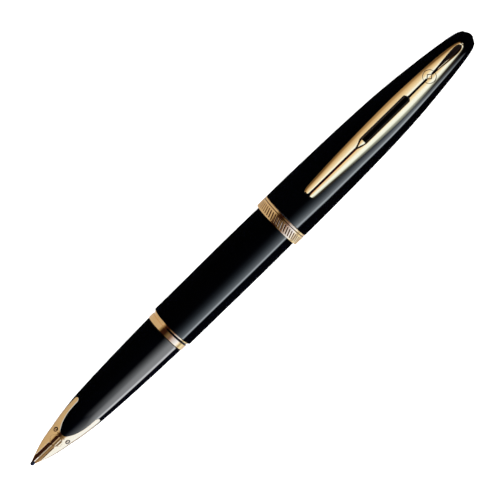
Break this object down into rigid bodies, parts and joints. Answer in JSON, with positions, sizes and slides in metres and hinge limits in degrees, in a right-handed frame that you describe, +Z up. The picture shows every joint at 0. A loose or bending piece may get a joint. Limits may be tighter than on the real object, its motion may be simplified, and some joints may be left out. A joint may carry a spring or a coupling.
{
  "type": "fountain pen",
  "caption": "Fountain pen with an inlaid nib, a sprung clip and a pull-off cap posted on the barrel; the section unscrews to reach a twist converter.",
  "frame": {"origin": "on the ground under the middle of the posted pen, with the cap band resting on the ground", "axes": "+X along the pen from the nib to the cap's crown, +Z up through the clip and the top of the nib, +Y across"},
  "size_m": [0.15, 0.0134, 0.0144],
  "materials": {
    "lacquer_black": "high gloss black lacquer over brass",
    "gold_plate": "polished gold plate",
    "tip_alloy": "polished hard alloy",
    "feed_black": "satin black plastic",
    "brass_plain": "machined brass",
    "seal_rubber": "black rubber",
    "clear_plastic": "clear plastic",
    "white_plastic": "white plastic",
    "black_plastic": "black plastic",
    "spring_steel": "bright spring steel"
  },
  "bodies": {
    "barrel": {"barrel_tube": "lacquer_black", "barrel_bush": "gold_plate", "tail_plug": "lacquer_black"},
    "washer": {"mouth_washer": "brass_plain"},
    "ring": {"section_ring": "gold_plate"},
    "section": {"grip_shell": "lacquer_black", "nib": "gold_plate", "nib_tip": "tip_alloy", "feed": "feed_black", "collector": "black_plastic", "thread_collar": "brass_plain"},
    "converter": {"converter_tube": "clear_plastic", "converter_ferrule": "gold_plate", "rod_guide": "white_plastic"},
    "knob": {"converter_knob": "black_plastic"},
    "piston": {"piston_rod": "white_plastic", "piston_seal": "seal_rubber"},
    "cap": {"cap_shell": "lacquer_black", "cap_band": "gold_plate", "cap_clutch": "brass_plain", "inner_cap": "black_plastic", "clip_block": "brass_plain", "clip_pin": "spring_steel", "clip_spring": "spring_steel"},
    "clip": {"clip": "gold_plate"}
  },
  "joints": [
    {"name": "cap_pull", "type": "slide", "parent": "barrel", "child": "cap", "axis": [1, 0, 0], "range_m": [0, 0.044]},
    {"name": "clip_lift", "type": "hinge", "parent": "cap", "child": "clip", "pos_m": [0.0696, 0, 0.0079], "axis": [0, 1, 0], "range_deg": [0, 4], "stiffness_Nm_per_rad": 0.3, "springref_deg": -17.19},
    {"name": "section_pull", "type": "slide", "parent": "barrel", "child": "washer", "axis": [-1, 0, 0], "range_m": [0, 0.06]},
    {"name": "thread_travel", "type": "slide", "parent": "washer", "child": "ring", "axis": [-1, 0, 0], "range_m": [0, 0.003]},
    {"name": "section_unscrew", "type": "hinge", "parent": "ring", "child": "section", "pos_m": [-0.029, 0, 0.0067], "axis": [-1, 0, 0], "range_deg": [0, 1440]},
    {"name": "converter_pull", "type": "slide", "parent": "section", "child": "converter", "axis": [1, 0, 0], "range_m": [0, 0.004]},
    {"name": "knob_turn", "type": "hinge", "parent": "converter", "child": "knob", "pos_m": [0.022, 0, 0.0067], "axis": [1, 0, 0], "range_deg": [0, 1080]},
    {"name": "piston_travel", "type": "slide", "parent": "converter", "child": "piston", "axis": [1, 0, 0], "range_m": [0, 0.021]}
  ],
  "couplings": [
    {"joint": "section_unscrew", "follows": "thread_travel", "rad_per_m": 8377},
    {"joint": "knob_turn", "follows": "piston_travel", "rad_per_m": 897.5}
  ]
}
